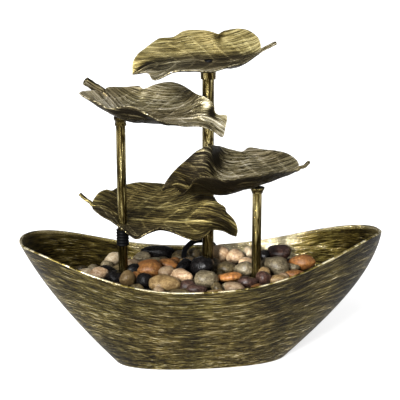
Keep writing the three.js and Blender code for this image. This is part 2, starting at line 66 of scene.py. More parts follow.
def make_camera():
    data = bpy.data.cameras.new("camera")
    data.lens = 97.65
    data.sensor_width = 36.0
    data.shift_y = 0.005
    camera = bpy.data.objects.new("camera", data)
    back = Vector((
        math.sin(VIEW_AZIMUTH) * math.cos(VIEW_ELEVATION),
        -math.cos(VIEW_AZIMUTH) * math.cos(VIEW_ELEVATION),
        math.sin(VIEW_ELEVATION),
    ))
    camera.location = VIEW_TARGET + back * VIEW_DISTANCE
    camera.rotation_euler = (-back).to_track_quat("-Z", "Y").to_euler()
    scene.collection.objects.link(camera)
    scene.camera = camera


make_camera()


# ---- mesh helpers ----

def smoothstep(low, high, value):
    t = np.clip((np.asarray(value, float) - low) / (high - low), 0.0, 1.0)
    return t * t * (3.0 - 2.0 * t)


def fade(t, start, end, a, b):
    """a at start, b at end and in proportion at t."""
    return (end - t) / (end - start) * a + (t - start) / (end - start) * b


def curve_through(points, count):
    """Centripetal Catmull-Rom through the points, sampled at equal lengths."""
    p = np.asarray(points, float)
    p = np.vstack([2 * p[0] - p[1], p, 2 * p[-1] - p[-2]])
    knots = np.concatenate([[0.0], np.cumsum(np.linalg.norm(np.diff(p, axis=0), axis=1) ** 0.5)])
    dense = []
    for i in range(1, len(p) - 2):
        t0, t1, t2, t3 = knots[i - 1:i + 3]
        t = np.linspace(t1, t2, 40, endpoint=False)[:, None]
        a1 = fade(t, t0, t1, p[i - 1], p[i])
        a2 = fade(t, t1, t2, p[i], p[i + 1])
        a3 = fade(t, t2, t3, p[i + 1], p[i + 2])
        dense.append(fade(t, t1, t2, fade(t, t0, t2, a1, a2), fade(t, t1, t3, a2, a3)))
    line = np.vstack(dense + [p[-2:-1]])
    along = np.concatenate([[0.0], np.cumsum(np.linalg.norm(np.diff(line, axis=0), axis=1))])
    want = np.linspace(0.0, along[-1], count)
    return np.stack([np.interp(want, along, line[:, k]) for k in range(3)], axis=1)


def new_object(name, vertices, faces, material=None, smooth=True, sharp_degrees=None):
    mesh = bpy.data.meshes.new(name)
    mesh.from_pydata([tuple(v) for v in vertices], [], [tuple(f) for f in faces])
    mesh.update()
    if smooth:
        mesh.shade_smooth()
    if sharp_degrees is not None:
        mesh.set_sharp_from_angle(angle=math.radians(sharp_degrees))
    obj = bpy.data.objects.new(name, mesh)
    scene.collection.objects.link(obj)
    if material is not None:
        mesh.materials.append(material)
    return obj


def grid_faces(rows, columns, closed=False, offset=0, flip=False):
    faces = []
    for i in range(rows - 1):
        for j in range(columns if closed else columns - 1):
            k = (j + 1) % columns
            face = [offset + i * columns + j, offset + i * columns + k,
                    offset + (i + 1) * columns + k, offset + (i + 1) * columns + j]
            faces.append(face[::-1] if flip else face)
    return faces


def capped_faces(rows, sides):
    """The faces of a stack of rings, with both its ends closed."""
    faces = grid_faces(rows, sides, closed=True)
    faces.append(list(range(sides - 1, -1, -1)))
    faces.append([(rows - 1) * sides + k for k in range(sides)])
    return faces


def set_uv(obj, coordinates):
    """Gives each vertex its own place on a map called wrap, in metres."""
    mesh = obj.data
    layer = mesh.uv_layers.new(name="wrap")
    loops = np.empty(len(mesh.loops), dtype=np.int32)
    mesh.loops.foreach_get("vertex_index", loops)
    layer.data.foreach_set("uv", np.asarray(coordinates, dtype=np.float32)[loops].ravel())


def set_mask(obj, name, values):
    """Stores one number per vertex for the materials to read."""
    attribute = obj.data.attributes.new(name, "FLOAT", "POINT")
    attribute.data.foreach_set("value", np.asarray(values, dtype=np.float32))


def lathe(name, profile, centre, material, sides=64, sharp_degrees=40):
    """Turns a closed list of (radius, height) about a vertical axis through centre."""
    angles = np.linspace(0.0, 2 * math.pi, sides, endpoint=False)
    vertices = [(centre[0] + r * math.cos(a), centre[1] + r * math.sin(a), z)
                for r, z in profile for a in angles]
    count = len(profile)
    faces = grid_faces(count, sides, closed=True)
    for j in range(sides):
        k = (j + 1) % sides
        faces.append([(count - 1) * sides + j, (count - 1) * sides + k, k, j])
    obj = new_object(name, vertices, faces, material, sharp_degrees=sharp_degrees)
    set_uv(obj, [(r * a, z) for r, z in profile for a in angles])
    return obj


def rounded(profile, radius, steps=3):
    """Rounds every corner of a closed (radius, height) profile."""
    out = []
    count = len(profile)
    for i, here in enumerate(profile):
        before, after = profile[i - 1], profile[(i + 1) % count]
        here, before, after = Vector(here), Vector(before), Vector(after)
        cut = min(radius, 0.45 * (before - here).length, 0.45 * (after - here).length)
        start = here + (before - here).normalized() * cut
        end = here + (after - here).normalized() * cut
        for k in range(steps + 1):
            t = k / steps
            out.append(tuple((1 - t) ** 2 * start + 2 * t * (1 - t) * here + t * t * end))
    return out


# ---- material helpers ----

class Nodes:
    """A short way to write the node tree of a new material or world."""

    def __init__(self, name, kind=bpy.data.materials):
        self.owner = kind.new(name)
        self.owner.use_nodes = True
        self.tree = self.owner.node_tree

    def add(self, kind, inputs=None, **settings):
        node = self.tree.nodes.new("ShaderNode" + kind)
        for key, value in settings.items():
            setattr(node, key, value)
        for key, value in (inputs or {}).items():
            self.feed(node.inputs[key], value)
        return node

    def feed(self, socket, value):
        if isinstance(value, bpy.types.NodeSocket):
            self.tree.links.new(value, socket)
        else:
            socket.default_value = value

    def wrap(self, scale=(1.0, 1.0, 1.0), turn=0.0):
        source = self.add("UVMap", uv_map="wrap").outputs["UV"]
        return self.mapped(source, scale, turn)

    def place(self, scale=(1.0, 1.0, 1.0)):
        return self.mapped(self.add("TexCoord").outputs["Object"], scale)

    def mapped(self, source, scale, turn=0.0):
        return self.add("Mapping", {
            "Vector": source, "Scale": scale, "Rotation": (0.0, 0.0, turn)}).outputs["Vector"]

    def noise(self, vector, scale, detail=4.0, rough=0.6, warp=0.0):
        return self.add("TexNoise", {
            "Vector": vector, "Scale": scale, "Detail": detail, "Roughness": rough,
            "Distortion": warp}).outputs["Fac"]

    def mask(self, name):
        return self.add("Attribute", attribute_name=name).outputs["Fac"]

    def ramp(self, value, stops):
        node = self.add("ValToRGB", {"Fac": value})
        ramp = node.color_ramp
        while len(ramp.elements) < len(stops):
            ramp.elements.new(0.5)
        for element, (position, color) in zip(ramp.elements, stops):
            element.position = position
            element.color = (*color, 1.0)
        return node.outputs["Color"]

    def between(self, value, low, high, out_low=0.0, out_high=1.0):
        return self.add("MapRange", {
            "Value": value, "From Min": low, "From Max": high,
            "To Min": out_low, "To Max": out_high}).outputs["Result"]

    def math(self, operation, a, b=0.0):
        node = self.add("Math", operation=operation)
        self.feed(node.inputs[0], a)
        self.feed(node.inputs[1], b)
        return node.outputs[0]

    def mix(self, factor, a, b, blend="MIX"):
        node = self.add("Mix", data_type="RGBA", blend_type=blend)
        self.feed(node.inputs[0], factor)
        self.feed(node.inputs[6], (*a, 1.0) if isinstance(a, tuple) else a)
        self.feed(node.inputs[7], (*b, 1.0) if isinstance(b, tuple) else b)
        return node.outputs[2]

    def bump(self, height, distance, strength=1.0, under=None):
        inputs = {"Height": height, "Distance": distance, "Strength": strength}
        if under is not None:
            inputs["Normal"] = under
        return self.add("Bump", inputs).outputs["Normal"]

    def finish(self, **inputs):
        shader = self.tree.nodes["Principled BSDF"]
        for key, value in inputs.items():
            name = key.replace("_", " ").title().replace("Ior", "IOR")
            self.feed(shader.inputs[name], (*value, 1.0) if isinstance(value, tuple) else value)
        return self.owner


TONE_LEVELS = (0.22, 0.44, 0.62, 0.82, 1.0)
GOLD_TO_GREY = (0.96, 1.03, 1.80)


def brushed_metal(name, tones, stroke, metallic, rough, contrast, masks=(), engraved=0.3,
                  silver=False):
    """Aged metal with fine gold strokes dragged along the surface.

    tones run from the dark wash to the bare metal; stroke is the length and width of one stroke,
    in metres; masks are (mask, amount) pairs that lighten the metal towards bare, by wear and by
    painted highlight and shade; engraved is the depth of the wandering dark lines; silver lets the
    mask of that name turn the gold grey.
    """
    n = Nodes(name)

    def strokes(along, across, turn, *texture):
        return n.noise(n.wrap((along / stroke[0], across / stroke[1], 1), turn), *texture)

    fine = strokes(1.0, 1.0, 0.0, 1.0, 6.0, 0.70, 0.2)
    cross = strokes(0.6, 0.8, 0.05, 1.7, 3.0, 0.6, 0.3)
    scratch = strokes(0.5, 2.2, -0.03, 1.0, 2.0, 0.5, 0.1)
    broad = strokes(0.35, 0.16, 0.0, 1.0, 3.0, 0.55, 0.8)
    grooves = strokes(0.3, 0.35, 0.04, 1.0, 4.0, 0.6, 0.5)
    patch = n.noise(n.place(), 16.0, 3.0, 0.55)
    grain = n.noise(n.place(), 1100.0, 2.0, 0.6)
    level = n.math("MULTIPLY", fine, 0.85 * contrast)
    for part, share in ((cross, 0.45), (broad, 0.35), (patch, 0.25), (grain, 0.14)):
        level = n.math("ADD", level, n.math("MULTIPLY", part, share * contrast))
    level = n.math("SUBTRACT", level, 1.02 * contrast - 0.5)
    for mask, amount in masks:
        level = n.math("ADD", level, n.math("MULTIPLY", n.mask(mask), amount))
    level = n.math("SUBTRACT", level, n.between(scratch, 0.36, 0.44, 0.35, 0.0))
    off_line = n.math("ABSOLUTE", n.math("SUBTRACT", grooves, 0.5))
    level = n.math("SUBTRACT", level, n.between(off_line, 0.0, 0.022, engraved, 0.0))
    color = n.ramp(level, list(zip(TONE_LEVELS, tones)))
    hue = n.noise(n.place(), 30.0, 2.0, 0.5)
    color = n.mix(n.between(hue, 0.35, 0.65, 0.0, 0.35), color, (0.72, 0.56, 0.36), "MULTIPLY")
    if silver:
        color = n.mix(n.mask("silver"), color, GOLD_TO_GREY, "MULTIPLY")
    roughness = n.between(level, 0.3, 0.8, rough + 0.12, rough - 0.08)
    normal = n.bump(grain, 0.0002, 0.3)
    normal = n.bump(level, 0.0005, 0.5, normal)
    return n.finish(base_color=color, metallic=metallic, roughness=roughness, normal=normal,
                    specular_ior_level=0.12)


def river_stone(name, light, dark, fleck, rough=0.36, gloss=0.25):
    """Polished pebbles: mottled, flecked, each one a little lighter or darker than the next."""
    n = Nodes(name)
    own = n.mask("tone")
    shift = n.add("CombineXYZ", {"X": own, "Y": own, "Z": own})
    place = n.add("VectorMath", {0: n.place(), 1: shift.outputs[0]}, operation="ADD").outputs[0]
    cloud = n.noise(place, 110.0, 5.0, 0.65, 1.2)
    bands = n.noise(place, 260.0, 4.0, 0.6, 2.5)
    speck = n.noise(place, 1500.0, 2.0, 0.7)
    color = n.mix(n.between(cloud, 0.42, 0.58), dark, light)
    color = n.mix(n.between(bands, 0.54, 0.64, 0.0, 0.75), color, fleck)
    color = n.mix(n.between(bands, 0.45, 0.37, 0.0, 0.8), color, dark)
    color = n.mix(n.between(speck, 0.57, 0.66, 0.0, 0.5), color, fleck)
    tone = n.between(own, 0.0, 1.0, 0.42, 0.98)
    shade = n.add("CombineColor", {
        "Red": tone, "Green": n.math("MULTIPLY", tone, 0.95),
        "Blue": n.math("MULTIPLY", tone, 0.84)}).outputs[0]
    color = n.mix(1.0, color, shade, "MULTIPLY")
    roughness = n.between(bands, 0.3, 0.7, rough - 0.06, rough + 0.14)
    normal = n.bump(bands, 0.0008, 0.4, n.bump(speck, 0.00015, 0.35))
    return n.finish(base_color=color, roughness=roughness, normal=normal, specular_ior_level=gloss)


def plain_plastic(name, color, rough, grain_size=2500.0, bump=0.0001, gloss=0.2):
    """Moulded plastic or rubber: a fine grain and faint handling marks."""
    n = Nodes(name)
    grain = n.noise(n.place(), grain_size, 2.0, 0.6)
    marks = n.noise(n.place((1, 1, 4)), 90.0, 4.0, 0.65)
    shade = n.mix(n.between(marks, 0.35, 0.7), color, tuple(min(1.0, c * 1.8) for c in color))
    roughness = n.between(marks, 0.3, 0.7, rough - 0.07, rough + 0.08)
    return n.finish(base_color=shade, roughness=roughness, normal=n.bump(grain, bump, 0.5),
                    specular_ior_level=gloss)


def worn_metal(name, color, rough):
    """Plain bright metal with fine brushing and a few smears."""
    n = Nodes(name)
    brush = n.noise(n.place((1, 1, 0.05)), 3000.0, 2.0)
    smear = n.noise(n.place(), 140.0, 4.0)
    return n.finish(
        base_color=n.mix(smear, color, tuple(c * 0.75 for c in color)), metallic=1.0,
        roughness=n.between(smear, 0.3, 0.7, rough - 0.05, rough + 0.12),
        normal=n.bump(brush, 0.00005, 0.4))


# ---- colours ----

BOWL_BRONZE = brushed_metal(
    "bowl_bronze",
    [(0.006, 0.004, 0.001), (0.036, 0.026, 0.005), (0.128, 0.098, 0.020), (0.33, 0.262, 0.074),
     (1.00, 0.92, 0.64)],
    stroke=(0.016, 0.0007), metallic=0.80, rough=0.34, contrast=2.9, masks=[("wear_and_painted_light", 0.60)])
LEAF_BRONZE = brushed_metal(
    "leaf_bronze",
    [(0.010, 0.007, 0.002), (0.054, 0.040, 0.012), (0.180, 0.143, 0.042), (0.46, 0.375, 0.125),
     (0.92, 0.80, 0.38)],
    stroke=(0.022, 0.0010), metallic=0.55, rough=0.34, contrast=2.6,
    masks=[("wear_and_painted_light", 0.25), ("vein", 0.22), ("gilt_and_painted_light", 1.0)], engraved=0.60, silver=True)
POLE_BRASS = brushed_metal(
    "pole_brass",
    [(0.012, 0.008, 0.002), (0.062, 0.045, 0.013), (0.22, 0.178, 0.065), (0.56, 0.48, 0.225),
     (0.95, 0.88, 0.56)],
    stroke=(0.0018, 0.045), metallic=0.95, rough=0.20, contrast=2.2)
RUBBER = plain_plastic("black_rubber", (0.0018, 0.0018, 0.002), 0.50, gloss=0.05)
CORD_JACKET = plain_plastic("cord_jacket", (0.0015, 0.0015, 0.0018), 0.38, bump=0.00005, gloss=0.05)
PUMP_PLASTIC = plain_plastic("pump_plastic", (0.005, 0.005, 0.0055), 0.45, gloss=0.08)
FOOT_RUBBER = plain_plastic("foot_pad_rubber", (0.020, 0.017, 0.014), 0.85, 1200.0, 0.0003)
MAGNET = plain_plastic("ferrite", (0.030, 0.030, 0.033), 0.55, 1500.0)

# Each stone's light, dark and fleck colours; the black ones also have a polish of their own.
STONE_COLOURS = {
    "cream": [(0.62, 0.53, 0.39), (0.38, 0.29, 0.19), (0.74, 0.68, 0.56)],
    "black": [(0.007, 0.0065, 0.007), (0.002, 0.002, 0.0025), (0.018, 0.016, 0.017), 0.22, 0.10],
    "tan": [(0.29, 0.195, 0.090), (0.13, 0.080, 0.034), (0.42, 0.32, 0.17)],
    "orange": [(0.29, 0.118, 0.034), (0.12, 0.048, 0.016), (0.42, 0.24, 0.09)],
    "grey": [(0.20, 0.168, 0.108), (0.076, 0.060, 0.036), (0.37, 0.33, 0.24)],
    "pink": [(0.50, 0.365, 0.235), (0.25, 0.155, 0.090), (0.66, 0.55, 0.43)],
    "maroon": [(0.058, 0.026, 0.020), (0.018, 0.008, 0.007), (0.15, 0.10, 0.085)],
    "olive": [(0.105, 0.078, 0.036), (0.036, 0.026, 0.012), (0.21, 0.175, 0.105)],
}
STONES = {name: river_stone(f"stone_{name}", *look) for name, look in STONE_COLOURS.items()}
SHAFT_STEEL = worn_metal("pump_steel", (0.55, 0.56, 0.58), 0.28)
PIN_BRASS = worn_metal("plug_pin", (0.72, 0.58, 0.30), 0.26)


# ---- cord ----

CORD_RADIUS = 0.0028
CORD_ROUTE = [
    (-8, 20, 67), (-8.1, 20.4, 71.3), (-8.7, 21.8, 76.4), (-9.8, 24.4, 81), (-11.3, 28.2, 85),
    (-12.6, 33.6, 89), (-12.9, 40.3, 93), (-11, 47.2, 96.9), (-6.5, 53.8, 99.9),
    (-0.6, 60.2, 101.6), (6.6, 66.4, 101), (13.2, 72.6, 98.2), (18.6, 78.6, 94.4),
    (22.6, 84.6, 89.9), (25.2, 90.4, 84), (27, 95.8, 76.4), (28.4, 100.4, 66.8),
    (29.5, 104.2, 55.5), (30.4, 107.8, 43), (31, 112, 30.8), (31.4, 117.4, 20),
    (31.6, 124, 12.2), (31.5, 131.5, 7.2), (31.3, 141, 4.6),
]
CORD_TAIL = [(-47.5, 140, 8.9), (-47.5, 129, 8.5), (-47.5, 118.2, 8.4)]
COIL_CENTRE = (-8, 152)
COIL_RADII = (39.2, 33.6, 28.0, 22.4)
COIL_LOW = 4.0
COIL_HIGH = 9.6
COIL_TURNS = 7.5
STEPS_PER_TURN = 18


def coil_points():
    """Turns beside each other from the outside in, then a second layer from the inside out."""
    radii = [*COIL_RADII, *reversed(COIL_RADII)]
    heights = [COIL_LOW] * len(COIL_RADII) + [COIL_HIGH] * len(COIL_RADII)
    last = len(radii) - 1
    points = []
    for i in range(int(COIL_TURNS * STEPS_PER_TURN) + 1):
        turns = i / STEPS_PER_TURN
        lap = min(int(turns), last)
        after = min(lap + 1, last)
        step_over = float(smoothstep(0.45, 1.0, turns - lap))
        radius = radii[lap] + (radii[after] - radii[lap]) * step_over
        height = heights[lap] + (heights[after] - heights[lap]) * step_over
        angle = 2 * math.pi * turns
        points.append((COIL_CENTRE[0] + radius * math.cos(angle),
                       COIL_CENTRE[1] + radius * math.sin(angle), height))
    return points


def make_cord():
    points = [Vector(p) * MM for p in CORD_ROUTE + coil_points() + CORD_TAIL]
    data = bpy.data.curves.new("mains_cord", "CURVE")
    data.dimensions = "3D"
    data.resolution_u = 8
    data.bevel_depth = CORD_RADIUS
    data.bevel_resolution = 5
    data.use_fill_caps = True
    spline = data.splines.new("BEZIER")
    spline.bezier_points.add(len(points) - 1)
    for i, (knot, place) in enumerate(zip(spline.bezier_points, points)):
        before, after = points[max(i - 1, 0)], points[min(i + 1, len(points) - 1)]
        along = (after - before).normalized()
        knot.co = place
        knot.handle_left = place - along * (place - before).length / 3
        knot.handle_right = place + along * (after - place).length / 3
    cord = bpy.data.objects.new("mains_cord", data)
    scene.collection.objects.link(cord)
    data.materials.append(CORD_JACKET)
    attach(cord, ROOT)
    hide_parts("cord_run", "cord_coil", "cord_tail")
    return cord


cord = make_cord()


# ---- bowl ----

BOWL_RIGHT_LENGTH = 0.1775
BOWL_LEFT_LENGTH = 0.1755
BOWL_HALF_WIDTH = 0.085
FOOT_HALF_LENGTH = 0.086
FOOT_HALF_WIDTH = 0.037
BOWL_BOTTOM = 0.0015
BOWL_FLOOR = 0.0055
BOWL_WALL = 0.0024
BOWL_ROUNDNESS = 2.46
# How far the wall swells out between foot and rim, along the sides and at the left and right ends,
# and how much higher than halfway the ends swell most.
SIDE_BULGE = -0.06
END_BULGES = (0.32, 0.66)
END_SKEWS = (0.03, 0.17)
NOTCH_X = 0.0226
NOTCH_DEPTH = 0.0035
NOTCH_HALF_WIDTH = 0.0038
WALL_MAP_HEIGHT = 0.12


def superellipse(angle, a, b):
    power = 2.0 / BOWL_ROUNDNESS
    c, s = np.cos(angle), np.sin(angle)
    return a * np.sign(c) * np.abs(c) ** power, b * np.sign(s) * np.abs(s) ** power


def rim_height(angle):
    return MM * (114.4 - 6 * np.sin(angle) + 17 * np.cos(2 * angle) - 3 * np.sin(2 * angle)
                 - 2.4 * np.sin(3 * angle) - 4 * np.cos(4 * angle))


def wall_points(angle, level):
    """Points on the outer wall; level runs from 0 at the bottom to 1 at the rim."""
    end = np.cos(angle) ** 2
    left = np.cos(angle) < 0
    bulge = SIDE_BULGE * (1 - end) + np.where(left, *END_BULGES) * end
    skew = np.where(left, *END_SKEWS) * end
    blend = level * (1 - level)
    grow = level + bulge * blend + skew * blend * (2 * level - 1)
    foot = superellipse(angle, FOOT_HALF_LENGTH, FOOT_HALF_WIDTH)
    length = np.where(left, BOWL_LEFT_LENGTH, BOWL_RIGHT_LENGTH)
    rim = superellipse(angle, length, BOWL_HALF_WIDTH)
    return np.stack([foot[0] + (rim[0] - foot[0]) * grow, foot[1] + (rim[1] - foot[1]) * grow,
                     BOWL_BOTTOM + (rim_height(angle) - BOWL_BOTTOM) * level], axis=-1)


def inside_points(angle, level, inset):
    """The outer wall's points, moved inwards and level by inset."""
    step = 1e-4
    along = wall_points(angle + step, level) - wall_points(angle - step, level)
    up = wall_points(angle, level + step) - wall_points(angle, level - step)
    inward = np.cross(up, along)
    inward[..., 2] = 0.0
    inward /= np.linalg.norm(inward, axis=-1, keepdims=True)
    return wall_points(angle, level) + inward * inset


def wall_inset_at(angle, height, inset):
    """The inner wall's outline at one height."""
    level = (height - BOWL_BOTTOM) / (rim_height(angle) - BOWL_BOTTOM)
    return inside_points(angle, level, inset)


def even_angles(count):
    """Angles that are evenly spaced along the rim."""
    fine = np.linspace(0.0, 2 * math.pi, 4001)
    x, y = superellipse(fine, BOWL_RIGHT_LENGTH, BOWL_HALF_WIDTH)
    length = np.concatenate([[0.0], np.cumsum(np.hypot(np.diff(x), np.diff(y)))])
    return np.interp(np.arange(count) / count * length[-1], length, fine), length[-1]


def painted_back_wall_highlight(points):
    """Painted highlight on the inside of the back wall, in three bright patches."""
    x, y = points[:, 0], points[:, 1]
    patches = 0
    for middle, size, amount in ((-0.052, 0.016, 0.45), (0.034, 0.020, 1.3), (0.090, 0.024, 1.2)):
        patches = patches + amount * np.exp(-((x - middle) / size) ** 2)
    return patches * smoothstep(0.0, 0.03, y)


def painted_outside_shading(points, level):
    """Painted light and shade on the outside, as a change from its mean: lighter left of the
    middle, darker towards the right where less light falls, and darker at the left end and low
    down.
    """
    x = points[:, 0]
    side = 0.07 * np.exp(-((x + 0.055) / 0.05) ** 2) - 0.11 * smoothstep(0.01, 0.09, x)
    left_end = 0.06 * smoothstep(-0.11, -0.15, x)
    low_down = 0.05 * (1.0 - float(smoothstep(0.1, 0.4, level)))
    return side - left_end - low_down


def make_bowl():
    count = 320
    angles, perimeter = even_angles(count)
    rows, marks = [], []

    def add_row(points, height_mark, wear_and_painted_light):
        rows.append(points)
        marks.append((height_mark, np.broadcast_to(wear_and_painted_light, count)))

    for level in np.append(np.linspace(0.0, 0.97, 40), [0.982, 0.991, 0.996]):
        # Brighter at the foot and just under the rim; under the rim this is rim wear with a painted
        # highlight along it.
        edge = 0.2 * math.exp(-level / 0.015) + 0.4 * math.exp(-(1 - level) / 0.006)
        row = wall_points(angles, level)
        # The outside's lighter and darker areas here are painted light and shade.
        add_row(row, level, edge + painted_outside_shading(row, level))
    lip = wall_points(angles, 1.0)
    inner_lip = inside_points(angles, 1.0, BOWL_WALL)
    middle, half = (lip + inner_lip) / 2, (lip - inner_lip) / 2
    # The rounded lip: its brightness is rim wear with a painted highlight along it.
    for turn in np.linspace(0.0, math.pi, 7):
        lift = np.array([0, 0, 0.6 * BOWL_WALL / 2 * math.sin(turn)])
        add_row(middle + half * math.cos(turn) + lift, 1.0, 0.75)
    floor = (BOWL_FLOOR - BOWL_BOTTOM) / (rim_height(angles) - BOWL_BOTTOM)
    # Inside the wall: rim wear with a painted highlight along the inner edge under the rim.
    for step in np.linspace(1.0, 0.0, 31)[1:]:
        edge = 0.3 * math.exp(-(1 - step) / 0.006)
        row = inside_points(angles, floor + (1 - floor) * step, BOWL_WALL)
        # The back wall's bright patches are a painted highlight.
        add_row(row, 1.0 + step, edge + painted_back_wall_highlight(row))

    vertices = np.vstack(rows)
    dip = NOTCH_DEPTH * np.exp(-((vertices[:, 0] - NOTCH_X) / NOTCH_HALF_WIDTH) ** 2)
    near_rim = smoothstep(0.080, 0.086, vertices[:, 2]) * (vertices[:, 1] > 0.07)
    vertices[:, 2] -= dip * near_rim
    faces = grid_faces(len(rows), count, closed=True)
    bottom_hub = len(vertices)
    vertices = np.vstack([vertices, rows[0].mean(axis=0), rows[-1].mean(axis=0)])
    last = (len(rows) - 1) * count
    for j in range(count):
        k = (j + 1) % count
        faces.append([bottom_hub, k, j])
        faces.append([bottom_hub + 1, last + j, last + k])
    bowl = new_object("bronze_bowl", vertices, faces, BOWL_BRONZE, sharp_degrees=50)
    around = np.arange(count) / count * perimeter
    set_uv(bowl, [(u, WALL_MAP_HEIGHT * mark) for mark, _ in marks for u in around] + 2 * [(0, 0)])
    set_mask(bowl, "wear_and_painted_light", np.concatenate([w for _, w in marks] + [[0, 0]]))
    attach(bowl, ROOT)
    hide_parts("bowl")


make_bowl()


# ---- leaves ----

LEAF_THICKNESS = 0.0015
LEAF_ROWS = 150
LEAF_COLUMNS = 91
LEAVES = {
    "leaf_1": {
        "base": (61, 26, 302), "tip": (-64, 12, 284),
        "stalk": [(62, 26, 303), (69, 28, 306), (76, 30, 309)],
        "far": [(63, 40, 308), (62, 54, 313), (54, 67, 318), (41, 71, 319), (32, 68, 318),
                (24, 56, 316), (18, 68, 317), (4, 77, 318), (-9, 77, 317), (-20, 68, 312),
                (-34, 66, 311), (-46, 52, 306), (-56, 38, 300), (-63, 22, 293)],
        "mid": [(46, 16, 297), (30, 18, 294), (10, 18, 294), (-13, 16, 295), (-33, 12, 293),
                (-50, 10, 291)],
        "near": [(52, 8, 299), (39, -8, 296), (25, -20, 295), (7, -26, 291), (-10, -30, 292.5),
                 (-21, -32, 292.5), (-31, -30, 291), (-40, -26, 286), (-46, -18, 283),
                 (-50, -6, 287), (-56, 6, 287)],
    },
    "leaf_2": {
        "base": (-91, 30, 264), "tip": (23, -5, 234),
        "stalk": [(-92, 30, 265), (-100, 28, 270), (-108, 26, 276)],
        "far": [(-87, 46, 266), (-74, 60, 264), (-55, 64, 264), (-51, 54, 263), (-37, 62, 266),
                (-23, 64, 268), (-13, 56, 266), (-7, 40, 264), (-4, 26, 263), (-1, 12, 263),
                (4, 6, 262), (9, 4, 259), (13, 3, 254), (13, 2, 249), (16, 2, 245), (25, 2, 244)],
        "mid": [(-83, 22, 257), (-75, 12, 249), (-61, 8, 243), (-46, 4, 241), (-31, 0, 242),
                (-14, -2, 243), (4, -4, 244)],
        "near": [(-100, 22, 267), (-110, 16, 268), (-114, 8, 268), (-108, -4, 265),
                 (-98, -10, 262), (-88, -14, 257), (-76, -20, 259), (-65, -24, 259),
                 (-57, -26, 255), (-50, -30, 251), (-40, -32, 246), (-30, -28, 243.5),
                 (-16, -22, 240), (-2, -16, 238), (9, -14, 233), (19, -12, 226)],
    },
    "leaf_3": {
        "base": (96, 4, 189), "tip": (-40, -10, 175),
        "stalk": [(97, 5, 190), (103, 8, 191), (108, 12, 194)],
        "far": [(99, 18, 192), (98, 30, 194), (92, 42, 197), (82, 50, 199), (68, 54, 200),
                (55, 52, 202), (46, 42, 200), (34, 42, 203), (23, 32, 208), (16, 16, 212),
                (10, 6, 215), (3, 4, 213), (-4, 6, 209), (-16, 4, 200), (-25, 0, 193),
                (-33, -6, 185)],
        "mid": [(78, -2, 184), (62, -8, 182), (51, -10, 180), (36, -12, 177), (18, -16, 174),
                (2, -18, 176), (-12, -16, 179), (-25, -12, 182)],
        "near": [(87, -6, 190), (73, -20, 192.5), (60, -30, 194.5), (45, -40, 195),
                 (28, -46, 194), (14, -50, 194.5), (2, -50, 197), (-6, -48, 197),
                 (-12, -44, 193), (-15, -40, 186), (-21, -30, 177), (-29, -16, 182)],
    },
    "leaf_4": {
        "base": (-105, 46, 148), "tip": (33, -15, 129),
        "stalk": [(-106, 47, 150), (-111, 50, 153), (-116, 54, 157)],
        "far": [(-103, 56, 151), (-97, 66, 156), (-89, 74, 157), (-84, 72, 156), (-78, 78, 157),
                (-65, 82, 159), (-46, 82, 160), (-29, 74, 161), (-14, 54, 164), (-4, 32, 167),
                (2, 10, 169), (7, 7, 168), (13, 6, 164), (17, 5, 158), (24, 3, 153),
                (25, 1, 149), (30, -1, 144), (34, -4, 138), (35, -9, 133)],
        "mid": [(-91, 38, 147), (-76, 22, 141), (-59, 14, 140), (-40, 6, 140), (-19, -4, 142),
                (3, -8, 143), (19, -12, 140)],
        "near": [(-104, 36, 146), (-95, 20, 142.5), (-85, 6, 141), (-77, -3, 137), (-71, -9, 133),
                 (-66, -14, 130), (-62, -18, 131), (-56, -20, 135), (-50, -21, 139),
                 (-43, -22, 142), (-34, -26, 142), (-25, -30, 139), (-16, -34, 135),
                 (-9, -36, 133), (0, -34, 137), (7, -28, 141), (17, -26, 139), (26, -22, 133.5)],
    },
}
LEAF_BODY = {"leaf_1": "top_leaf", "leaf_2": "upper_left_leaf", "leaf_3": "right_leaf",
             "leaf_4": "lower_left_leaf"}
POLE_CENTRE = (0.009, 0.018)
POLE_LEFT = (-0.076, 0.011)
POLE_RIGHT = (0.0535, -0.009)
LEAF_HOLES = {"leaf_1": (POLE_CENTRE, 0.0040), "leaf_4": (POLE_LEFT, 0.0050)}


def leaf_surface(spec, rows, columns):
    """The sheet's middle as rows by columns of points, with each point's u, 0 at the stalk and 1
    at the tip, and w, -1 at the near edge and 1 at the far edge."""
    far, mid, near = (
        MM * curve_through([spec["base"], *spec[side], spec["tip"]], rows)[:, None, :]
        for side in ("far", "mid", "near"))
    w = np.linspace(1.0, -1.0, columns)[None, :, None]
    points = mid + (far - near) / 2 * w + ((far + near) / 2 - mid) * w * w
    u = np.repeat(np.linspace(0.0, 1.0, rows)[:, None], columns, axis=1)
    return points, u, np.repeat(w[..., 0], rows, axis=0)


def vein_height(u, w, length):
    """1 on a vein and 0 away from it. Side veins leave the midrib and lean towards the tip."""
    across = np.abs(w)
    middle = np.exp(-(across * 45 / (1.6 + 1.5 * (1 - u))) ** 2)
    best = middle
    for root in (0.02, 0.13, 0.25, 0.38, 0.52, 0.66, 0.80):
        line = root + (0.26 - 0.12 * root) * across ** 1.25
        offset = (u - line) * length
        width = 0.0014 - 0.0007 * across
        best = np.maximum(best, np.exp(-(offset / width) ** 2) * smoothstep(1.0, 0.75, across))
    for root in np.arange(0.06, 0.95, 0.055):
        line = root + 0.10 * np.sin(across * 5.0 + root * 40) * 0.25 + 0.20 * across
        offset = (u - line) * length
        best = np.maximum(best, 0.30 * np.exp(-(offset / 0.0008) ** 2))
    return best


def ripple(points, size, seed):
    """Smooth noise at each point, one bump per size."""
    shift = Vector((seed * 7.3, seed * 3.1, seed * 5.7))
    flat = points.reshape(-1, 3)
    values = [noise.noise(Vector(p) / size + shift) for p in flat]
    return np.array(values).reshape(points.shape[:-1])


